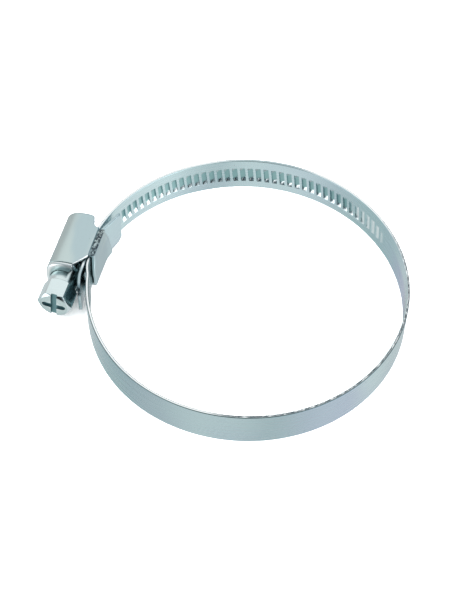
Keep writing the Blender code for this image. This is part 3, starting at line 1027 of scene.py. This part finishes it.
@dataclass
class SaddlePlate:
    """The plate that bears on the hose, with a rail beside each edge of the band."""

    layout: Layout
    material: bpy.types.Material
    inner: float = 34.1             # distance of the inner face from the ring's centre
    floor: float = 0.4              # thickness between the rails
    floor_near: float = 0.7         # the plate and the strip's joggle under it, near the head
    half_width: float = 5.25
    rail: float = 0.55              # thickness of a rail
    rail_top: float = 35.62
    near: float = -2.9              # near end of the rails along the screw
    rail_far: float = 5.0           # and their far end
    edge_radius: float = 0.1
    curl_share: float = 0.06        # share of the length over which the near edge is rounded
    pattern_start: float = 200.0    # mm, so that its clouds aren't the cap's again

    def far(self, height: float) -> float:
        """Far end of the plate along the screw at a height: slanted, and longest at the foot.

        Args:
            height: Height in mm.

        Returns:
            The place along the screw in mm.
        """
        if height > 1.2:
            return mix(6.3, 4.95, clamp01((height - 1.2) / 3.4))
        return mix(7.2, 6.3, clamp01((height + 4.4) / 5.6))

    def near_end(self, height: float) -> float:
        """Near end of the plate along the screw at a height."""
        return self.near - 0.55 * ease(3.4, 0.6, abs(height))

    def face(self, along: float) -> float:
        """Distance of the inner face from the ring's centre, curling in slightly past the rails."""
        return self.inner + 0.1 - 0.07 * max(along - 4.2, 0.0) ** 2 - 0.02 * max(-1.6 - along, 0.0) ** 2

    def outline(self) -> list[tuple[float, float]]:
        """Cross-section of the channel.

        Returns:
            (height, distance above the inner face) round the channel, in mm.
        """
        half, rail, edge = self.half_width, self.half_width - self.rail, self.edge_radius
        top = self.rail_top - self.inner - 0.1
        heights = spread(-half + edge, half - edge, 22)
        inside = [(height, 0.0) for height in heights]
        up_right = [(half - edge * 0.3, edge * 0.3), (half, edge), (half, top * 0.5), (half, top - edge),
                    (half - edge * 0.3, top - edge * 0.3), (half - edge, top), (rail + edge, top),
                    (rail, top - edge), (rail, self.floor)]
        middle = [(height, self.floor) for height in spread(rail - 0.3, -rail + 0.3, 14)]
        up_left = [(-height, level) for height, level in up_right[::-1]]
        return inside + up_right + middle + up_left

    def build(self) -> bpy.types.Object:
        """Build the plate.

        Returns:
            The piece, riding on the housing.
        """
        outline = self.outline()
        shares = [0.0, 0.004, 0.01, 0.018, 0.028, 0.04, 0.055] + spread(0.07, 0.94, 26) + [0.97, 0.988, 1.0]
        skin = Skin()
        for share in shares:
            trim = 0.07 * (1.0 - ease(0.0, 0.03, min(share, 1.0 - share)))
            for height, level in outline:
                far = self.far(height)
                if level > self.floor + 0.05:
                    far = min(far, self.rail_far - 0.55 * ease(0.9, 1.6, level))
                along = mix(self.near_end(height), far, share)
                thickness = max(self.floor, level)
                lifted = min(max(level, trim), max(thickness - trim, trim))
                if abs(height) < self.half_width - self.rail + 0.01 and level == self.floor:
                    lifted += (self.floor_near - self.floor) * (1.0 - ease(2.0, 4.2, along))
                    thickness = max(thickness, lifted)
                curl = 1.0 - clamp01(share / self.curl_share)
                lifted = max(lifted, min(thickness, 0.33 * (1.0 - math.sqrt(1.0 - curl ** 2))))
                outward = self.face(along) + lifted
                skin.add(self.layout.place(outward, along, height), (outward + self.pattern_start, along, height),
                         sheared=1.0 if abs(height) > self.half_width - 0.02 else 0.0)
        faces = loop_faces(len(shares), len(outline))
        piece = mesh_piece("saddle_plate_channel", skin, faces, self.material, sharp=40.0)
        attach(piece, "housing")
        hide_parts("saddle_plate")
        return piece


@dataclass
class HousingCap:
    """Pressed cap over the worm: one sheet, drawn into an arch and curled in at both ends."""

    layout: Layout
    material: bpy.types.Material
    half_width: float = 5.5
    spring: float = 38.4            # where the straight walls turn into the arch
    top: float = 44.5
    near: float = -7.2              # the end at the screw's head
    far: float = 8.7
    sheet: float = 0.7              # thickness of the metal
    axis: float = SCREW_AXIS
    neck_hole: float = 3.3
    corner: float = 0.6             # radius of the curled ends
    squareness: float = 3.0         # 2 is a plain ellipse
    bevel: float = 0.22             # on the outer edge of the foot
    fold: float = 0.2               # depth of the fold above the lip
    arch_steps: int = 40
    wall_steps: int = 5

    def foot(self, along: float) -> float:
        """Lower edge of the walls along the screw: it rises to the head and has a notch at the far end.

        Args:
            along: Place along the screw in mm.

        Returns:
            Distance from the ring's centre in mm.
        """
        if along < -3.0:
            share = clamp01((-3.0 - along) / 3.3)
            return 35.62 + 2.5 * share ** 1.15
        if along < 5.3:
            return 35.62
        return 36.35 + 0.75 * ease(5.3, 6.2, along) + 0.45 * ease(6.4, 8.1, along) + 1.2 * ease(8.1, 8.7, along)

    def arc(self, inset: float, foot: float, axis_pull: float, crease: float = 0.0) -> list[tuple[float, float]]:
        """One section of the sheet from the upper foot over the top to the lower foot.

        Args:
            inset: How far inside the outer surface it lies.
            foot: Where the walls end.
            axis_pull: 0 on the arch itself, 1 on the neck hole's rim.
            crease: How deep the fold above the lip dips, which fades to the left.

        Returns:
            (height, distance from the ring's centre) points.
        """
        half, rise = self.half_width - inset, self.top - self.spring - inset
        points = []
        bevel = self.bevel if inset < self.sheet and axis_pull <= 0.0 else 0.0
        points += [(half - bevel, foot), (half - bevel * 0.29, foot + bevel * 0.29)]
        for outward in spread(foot + bevel, self.spring, self.wall_steps)[:-1]:
            points.append((half, outward))
        for step in range(self.arch_steps + 1):
            turn = math.pi * step / self.arch_steps
            cosine, sine = math.cos(turn), math.sin(turn)
            power = 2.0 / self.squareness
            height = half * math.copysign(abs(cosine) ** power, cosine)
            points.append((height, self.spring + rise * sine ** power))
        for outward in spread(self.spring, foot + bevel, self.wall_steps)[1:]:
            points.append((-half, outward))
        points += [(-half + bevel * 0.29, foot + bevel * 0.29), (-half + bevel, foot)]
        if crease:
            fades = [ease(-4.5, 3.0, height) for height, _ in points]
            points = [(height * (1.0 - crease * fade / self.half_width),
                       outward - crease * fade * ease(self.spring, self.top, outward))
                      for (height, outward), fade in zip(points, fades)]
        if axis_pull <= 0.0:
            return points
        pulled = []
        for height, outward in points:
            away = Vector((height, outward - self.axis))
            rim = away.normalized() * self.neck_hole
            place = away.lerp(rim, axis_pull)
            pulled.append((place.x, place.y + self.axis))
        return pulled

    def profile(self) -> list[tuple[float, float, float]]:
        """Outer line of the sheet from the far end to the neck hole.

        Returns:
            (place along the screw, inset from the outer surface, pull to the hole's rim) points.
        """
        turns = spread(0.0, math.pi / 2, 6)
        far_end = [(self.far - self.corner * (1.0 - math.sin(turn)), self.corner * (1.0 - math.cos(turn)))
                   for turn in turns][::-1]
        near_end = [(self.near + self.corner * (1.0 - math.sin(turn)), self.corner * (1.0 - math.cos(turn)))
                    for turn in turns]
        steps = (-6.55, -6.47, -6.39, -6.31, -6.23, -6.1, -5.4, -4.6, -3.8, -3.3, -3.0, -2.4, 0.0, 2.0, 4.0,
                 5.2, 5.31, 5.6, 5.9, 6.3, 7.0, 7.5, 8.0)
        line = [(along, inset, 0.0) for along, inset in far_end]
        line += [(along, 0.0, 0.0) for along in reversed(steps)]
        line += [(along, inset, 0.0) for along, inset in near_end]
        line += [(self.near, self.corner, 0.45), (self.near, self.corner, 0.85),
                 (self.near + 0.06, self.corner, 1.0)]
        return line

    def dip(self, along: float) -> float:
        """Depth of the fold above the lip at a place along the screw."""
        return self.fold * ease(-6.2, -6.36, along) * ease(-6.56, -6.42, along)

    def build(self) -> bpy.types.Object:
        """Build the cap.

        Returns:
            The piece, riding on the housing.
        """
        outer = self.profile()
        inner = [(min(max(along, self.near + self.sheet), self.far - self.sheet),
                  max(inset, self.sheet), pull) for along, inset, pull in outer]
        line = outer + inner[::-1]
        skin = Skin()
        across = self.arch_steps + 2 * self.wall_steps + 5
        for number, (along, inset, pull) in enumerate(line):
            outside = number < len(outer)
            pair = number if outside else len(line) - 1 - number
            foot = self.foot(outer[pair][0])
            dip = self.dip(along) if outside else 0.0
            # Painted highlight on the lip and on the foot's bevel near the head; painted shade in the fold above
            # the lip.
            lip = 0.75 if outside and pull < 0.2 and along < -6.56 else 0.0
            for height, outward in self.arc(inset, foot, pull, dip):
                lit_foot_bevel = outside and outward < foot + 0.1 and along < -2.0
                skin.add(self.layout.place(outward, along, height), (outward, along, height),
                         edge=1.0 if lit_foot_bevel else lip,
                         soiled=min(dip / self.fold, 1.0) * ease(-4.5, 3.0, height),
                         bloom=0.35 * ease(43.0, 44.3, outward) if outside else 0.0)
        # The sheet is open along its foot, so faces that would close each loop are dropped.
        faces = loop_faces(len(line), across, closed_ends=False)
        faces = [face for face in faces if abs(face[0] - face[1]) == 1]
        count = len(line)
        for number in range(len(outer) - 1):
            other = count - 1 - number
            for side in (0, across - 1):
                faces.append((number * across + side, (number + 1) * across + side,
                              (other - 1) * across + side, other * across + side))
        for step in range(across - 1):
            faces.append((step, step + 1, (count - 1) * across + step + 1, (count - 1) * across + step))
        piece = mesh_piece("housing_cap_shell", skin, faces, self.material, sharp=48.0)
        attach(piece, "housing")
        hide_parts("housing_cap")
        return piece


# ---------------------------------------------------------------- the worm screw


@dataclass
class WormScrew:
    """One cold-formed screw: hexagon head with a slot and cross, plain neck, rolled worm."""

    layout: Layout
    material: bpy.types.Material
    # Painted shade for the driver slots' cut faces.
    slot_shade_material: bpy.types.Material
    axis: float = SCREW_AXIS
    across_flats: float = 7.0
    corner_start: float = 3.78      # radius from which the hexagon's corners are rounded
    corner_round: float = 0.45      # share of a corner past that radius that is taken off
    corner_limit: float = 3.92
    face_radius: float = 3.2        # of the round front face
    face_chamfer: float = 32.0      # degrees back from the front face
    dome: float = 0.12
    front: float = -14.8            # front and back of the head along the screw
    back: float = -9.6
    back_collar: float = 3.42       # radius where the head's back chamfer ends
    neck: float = 3.2
    neck_end: float = -5.9
    core: float = 2.45              # radii of the worm
    crest: float = 3.1
    worm_end: float = 7.9
    pitch: float = 1.88
    roll: float = 4.0               # degrees that the screw stands turned
    sharp: float = 24.0             # degrees
    pattern_start: float = 300.0    # mm, so that its clouds aren't the cap's again
    slot_pattern: float = 320.0
    slot_length: float = 9.0        # longer than the head is wide, so that it runs through
    slot_width: float = 1.35
    slot_depth: float = 0.75
    cross_length: float = 5.4
    cross_width: float = 1.45
    cross_depth: float = 0.45

    def hexagon(self, turn: float) -> float:
        """Radius of the hexagon with rounded corners.

        Args:
            turn: Angle round the screw in radians, 0 at the middle of the upper flat.

        Returns:
            The radius in mm.
        """
        sector = (math.degrees(turn) + 30.0) % 60.0 - 30.0
        plain = self.across_flats / 2 / math.cos(math.radians(sector))
        over = max(plain - self.corner_start, 0.0)
        return min(plain - over * self.corner_round, self.corner_limit)

    def turns(self) -> list[float]:
        """Angles round the screw, closer together at the hexagon's corners."""
        sector = (-30.0, -29.0, -28.0, -27.0, -26.0, -24.0, -21.0, -17.0, -12.0, -6.0, 0.0,
                  6.0, 12.0, 17.0, 21.0, 24.0, 26.0, 27.0, 28.0, 29.0)
        return [math.radians(60.0 * side + step) for side in range(6) for step in sector]

    def rings(self, turn: float) -> list[tuple[float, float]]:
        """Points (radius, along) from the middle of the front face to the end of the worm.

        Args:
            turn: Angle round the screw.

        Returns:
            The line, with the same number of points at every angle.
        """
        flat = self.hexagon(turn)
        slope = math.tan(math.radians(self.face_chamfer))
        front_edge = self.front + 0.12 + (flat - self.face_radius) * slope
        back_edge = self.back - 0.08 - (flat - self.back_collar) * 0.8
        line = [(self.face_radius * share, self.front + self.dome * share ** 2) for share in (0.0, 0.3, 0.6, 0.85)]
        line += [(self.face_radius - 0.06, self.front + self.dome), (self.face_radius + 0.03, self.front + 0.16)]
        line += [(mix(self.face_radius, flat, 0.6), mix(self.front + 0.12, front_edge, 0.6)),
                 (flat - 0.05, front_edge - 0.03), (flat, front_edge + 0.04)]
        line += [(flat, along) for along in spread(front_edge + 0.3, back_edge - 0.3, 4)]
        line += [(flat, back_edge), (mix(flat, self.back_collar, 0.5), mix(back_edge, self.back, 0.5)),
                 (self.back_collar, self.back - 0.05),
                 (3.36, self.back), (self.neck + 0.08, self.back), (self.neck, self.back + 0.08)]
        line += [(self.neck, self.back + 0.5), (self.neck, -7.4), (self.neck, self.neck_end - 0.3),
                 (self.neck - 0.12, self.neck_end - 0.06)]
        return line

    def worm(self, turn: float, along: float) -> float:
        """Radius of the worm's thread at a place, with run-outs at both ends.

        Args:
            turn: Angle round the screw in radians.
            along: Place along the screw in mm.

        Returns:
            The radius in mm.
        """
        phase = (along / self.pitch + turn / (2 * math.pi)) % 1.0
        share = 1.0 - ease(0.14, 0.32, abs(phase - 0.5))
        run_out = ease(self.neck_end + 0.1, self.neck_end + 1.4, along) * ease(
            self.worm_end - 0.2, self.worm_end - 1.6, along)
        return self.core + (self.crest - self.core) * share * run_out

    def build(self) -> bpy.types.Object:
        """Build the screw and cut its driver slots.

        Returns:
            The piece, riding on the screw body.
        """
        turns = self.turns()
        stations = spread(self.neck_end, self.worm_end - 0.35, 88)
        lines = []
        for turn in turns:
            line = self.rings(turn)
            line += [(self.worm(turn, along), along) for along in stations]
            line += [(self.core - 0.35, self.worm_end), (0.0, self.worm_end)]
            lines.append(line)
        placing = (Matrix.Translation(self.layout.place(self.axis, 0.0))
                   @ Matrix.Rotation(math.radians(self.roll), 4, "Y"))
        skin = Skin()
        for station in range(len(lines[0])):
            for turn, line in zip(turns, lines):
                radius, along = line[station]
                across, up = radius * math.sin(turn), radius * math.cos(turn)
                skin.add(placing @ (Vector((across, along, up)) * MM), (across + self.pattern_start, along, up),
                         bloom=1.0 if along < self.front + 0.15 else 0.0)
        faces = loop_faces(len(lines[0]), len(turns), closed_ends=False)
        piece = mesh_piece("worm_screw_turned", skin, faces, self.material, sharp=self.sharp)
        slot = self.slot("driver_slot", self.slot_length, self.slot_width, self.slot_depth, True, placing)
        cross = self.slot("driver_cross", self.cross_length, self.cross_width, self.cross_depth, False, placing)
        cut(piece, [slot, cross])
        piece.data.shade_smooth()
        piece.data.set_sharp_from_angle(angle=math.radians(self.sharp))
        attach(piece, "screw")
        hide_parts("worm_screw")
        return piece

    def slot(self, name: str, length: float, width: float, depth: float, upright: bool,
             placing: Matrix) -> bpy.types.Object:
        """Make a round-ended cutter for a driver slot.

        Args:
            name: The cutter's name.
            length: Its length across the head.
            width: Its width.
            depth: How deep it cuts.
            upright: Whether it runs from flat to flat, up and down.
            placing: The screw's place.

        Returns:
            The cutter, a little narrower at its floor.
        """
        turns = spread(-math.pi / 2, math.pi / 2, 8)
        end = length / 2 - width / 2
        ring = [(end + width / 2 * math.cos(turn), width / 2 * math.sin(turn)) for turn in turns]
        ring += [(-end - width / 2 * math.cos(turn), -width / 2 * math.sin(turn)) for turn in turns]
        levels = [(self.front - 1.0, 1.0), (self.front + depth - 0.12, 1.0), (self.front + depth, 0.88)]
        skin = Skin()
        for along, share in levels:
            for far, beside in ring:
                across, up = (beside * share, far) if upright else (far, beside * share)
                skin.add(placing @ (Vector((across, along, up)) * MM), (across + self.slot_pattern, along, up), bloom=0.0)
        return mesh_piece(name, skin, loop_faces(len(levels), len(ring)), self.slot_shade_material)


# ---------------------------------------------------------------- studio


@dataclass(frozen=True)
class Reflector:
    """One soft panel or dark flag round the clamp, seen only in its reflections."""

    name: str
    direction: Place  # from the clamp to its middle
    inner: float      # degrees from its middle to where it begins to fade
    outer: float      # degrees to where it has gone
    colour: str
    level: float      # brightness


@dataclass(frozen=True)
class Lamp:
    """One soft square light that faces the clamp."""

    name: str
    place: Place      # metres
    size: float       # its side in metres
    power: float      # watts


@dataclass(frozen=True)
class Studio:
    """Pale floor, soft light and the camera."""

    layout: Layout
    surround: str = "#b4c2c8"
    backdrop: str = "#f4f6f7"       # what the camera sees past the floor
    floor_half: float = 1.6         # metres
    elevation: float = 52.55        # degrees above the floor
    azimuth: float = 12.0           # degrees to the right of the clamp's front
    roll: float = 2.49
    distance: float = 0.3308        # metres from the ring's centre
    lens: float = 88.86             # mm
    shift: tuple[float, float] = (-0.0353, -0.0125)

    LAMPS: ClassVar[tuple[Lamp, ...]] = (
        Lamp("soft_overhead", (-0.06, 0.05, 0.60), 1.3, 21.0),
        Lamp("soft_front", (0.20, -0.55, 0.42), 1.2, 10.0),
    )
    PANELS: ClassVar[tuple[Reflector, ...]] = (
        Reflector("floor_in_shade", (0.0, 0.0, -1.0), 56.0, 72.0, "#f2f6f8", 0.86),
        Reflector("floor_in_front", (-0.10, -0.80, -0.60), 14.0, 36.0, "#ffffff", 1.04),
        Reflector("floor_left", (-0.80, 0.10, -0.60), 10.0, 34.0, "#d2e0e2", 0.92),
        Reflector("floor_right", (0.75, 0.0, -0.66), 12.0, 40.0, "#ffffff", 1.05),
        Reflector("back_horizon_flag", (-0.12, 0.87, -0.48), 12.0, 30.0, "#1c2a32", 0.7),
        Reflector("left_wall", (-0.86, 0.46, 0.20), 26.0, 50.0, "#dcdada", 1.0),
        Reflector("horizon_right_dark", (0.82, 0.57, 0.0), 14.0, 40.0, "#2f6c8a", 1.1),
        Reflector("overhead_bank", (-0.08, 0.55, 0.83), 30.0, 52.0, "#ffffff", 1.08),
        Reflector("camera_flag", (0.13, -0.80, 0.59), 12.0, 26.0, "#12181c", 0.6),
        Reflector("front_horizon_flag", (-0.05, -1.0, -0.06), 18.0, 32.0, "#0b1418", 0.4),
        Reflector("right_panel", (0.92, -0.33, -0.12), 22.0, 36.0, "#ffffff", 2.6),
        Reflector("left_panel", (-0.69, -0.71, -0.08), 15.0, 25.0, "#ffffff", 2.4),
    )

    def build(self) -> None:
        """Make the surroundings, the floor, the lights and the camera."""
        bpy.context.scene.view_settings.view_transform = "Standard"
        self._surroundings()
        self._floor()
        for lamp in self.LAMPS:
            self._light(lamp)
        self._camera()

    def _surroundings(self) -> None:
        """Paint the surroundings from the reflectors, by direction."""
        world = bpy.data.worlds.new("studio_surroundings")
        bpy.context.scene.world = world
        world.use_nodes = True
        tree = world.node_tree
        tree.nodes.clear()
        direction = add_node(tree, "ShaderNodeTexCoord").outputs["Generated"]
        colour: Socket | tuple = linear_colour(self.surround)
        for panel in self.PANELS:
            axis = Vector(panel.direction).normalized()
            facing = add_node(tree, "ShaderNodeVectorMath", {"operation": "DOT_PRODUCT"}, {
                0: direction, 1: tuple(axis)})
            share = add_node(tree, "ShaderNodeMapRange", {"interpolation_type": "SMOOTHSTEP"}, {
                "Value": facing.outputs["Value"], "From Min": math.cos(math.radians(panel.outer)),
                "From Max": math.cos(math.radians(panel.inner)), "To Min": 0.0, "To Max": 1.0})
            bright = Vector(linear_colour(panel.colour)[:3]) * panel.level
            colour = add_node(tree, "ShaderNodeMix", {"data_type": "RGBA", "label": panel.name}, {
                "Factor": share.outputs[0], 6: colour, 7: (*bright, 1.0)}).outputs[2]
        seen = add_node(tree, "ShaderNodeLightPath").outputs["Is Camera Ray"]
        shown = add_node(tree, "ShaderNodeMix", {"data_type": "RGBA"}, {
            "Factor": seen, 6: colour, 7: linear_colour(self.backdrop)})
        back = add_node(tree, "ShaderNodeBackground", {}, {"Color": shown.outputs[2], "Strength": 1.0})
        add_node(tree, "ShaderNodeOutputWorld", {}, {"Surface": back.outputs[0]})

    def _floor(self) -> None:
        """Lay a pale matt floor under the clamp."""
        material = bpy.data.materials.new("pale_matt_paper")
        material.use_nodes = True
        tree = material.node_tree
        shader = tree.nodes["Principled BSDF"]
        fibre = add_node(tree, "ShaderNodeTexNoise", {}, {"Scale": 420.0, "Detail": 3.0})
        level = add_node(tree, "ShaderNodeMapRange", {}, {
            "Value": fibre.outputs[0], "To Min": 0.955, "To Max": 0.975})
        tree.links.new(level.outputs[0], shader.inputs["Base Color"])
        shader.inputs["Roughness"].default_value = 0.9
        shader.inputs["Specular IOR Level"].default_value = 0.1
        size = self.floor_half
        mesh = bpy.data.meshes.new("studio_floor")
        corners = [(-size, -size, 0.0), (size, -size, 0.0), (size, size, 0.0), (-size, size, 0.0)]
        mesh.from_pydata(corners, [], [(0, 1, 2, 3)])
        mesh.materials.append(material)
        floor = bpy.data.objects.new("studio_floor", mesh)
        bpy.context.scene.collection.objects.link(floor)
        floor.visible_glossy = False

    def _light(self, lamp: Lamp) -> None:
        """Hang one lamp and turn it to the clamp.

        Args:
            lamp: Its place, size and power.
        """
        data = bpy.data.lights.new(lamp.name, "AREA")
        data.shape = "SQUARE"
        data.size = lamp.size
        data.energy = lamp.power
        light = bpy.data.objects.new(lamp.name, data)
        light.location = lamp.place
        light.rotation_mode = "QUATERNION"
        light.rotation_quaternion = (self.layout.centre - Vector(lamp.place)).to_track_quat("-Z", "Y")
        light.visible_glossy = False
        bpy.context.scene.collection.objects.link(light)

    def _camera(self) -> None:
        """Stand the camera in front of the clamp, above it and a little to the right."""
        elevation, azimuth = math.radians(self.elevation), math.radians(self.azimuth)
        back = Vector((math.sin(azimuth) * math.cos(elevation), -math.cos(azimuth) * math.cos(elevation),
                       math.sin(elevation)))
        data = bpy.data.cameras.new("studio_camera")
        data.sensor_width = 36.0
        data.lens = self.lens
        data.shift_x, data.shift_y = self.shift
        camera = bpy.data.objects.new("studio_camera", data)
        camera.location = self.layout.centre + back * self.distance
        camera.rotation_mode = "QUATERNION"
        turn = (-back).to_track_quat("-Z", "Y")
        camera.rotation_quaternion = turn @ Matrix.Rotation(math.radians(self.roll), 3, "Z").to_quaternion()
        bpy.context.scene.collection.objects.link(camera)
        bpy.context.scene.camera = camera


# ---------------------------------------------------------------- the order of work


def main() -> None:
    """Build the clamp round the frame, then the studio, and report each piece."""
    logging.basicConfig(level=logging.INFO, format="%(name)s: %(message)s")
    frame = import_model()
    layout = Layout.from_frame(frame)
    band_steel, tongue_steel, sheet_steel, screw_steel, slot_shade_steel = (finish.build() for finish in (
        BAND_FINISH, TONGUE_FINISH, HOUSING_FINISH, SCREW_FINISH, SLOT_SHADE_FINISH))
    Studio(layout).build()
    pieces = [
        *Band(layout, band_steel).build(),
        FixedEnd(layout, tongue_steel).build(),
        SaddlePlate(layout, sheet_steel).build(),
        HousingCap(layout, sheet_steel).build(),
        WormScrew(layout, screw_steel, slot_shade_steel).build(),
    ]
    for piece in pieces:
        LOG.info("%s: %d faces", piece.name, len(piece.data.polygons))


if __name__ == "__main__":
    main()
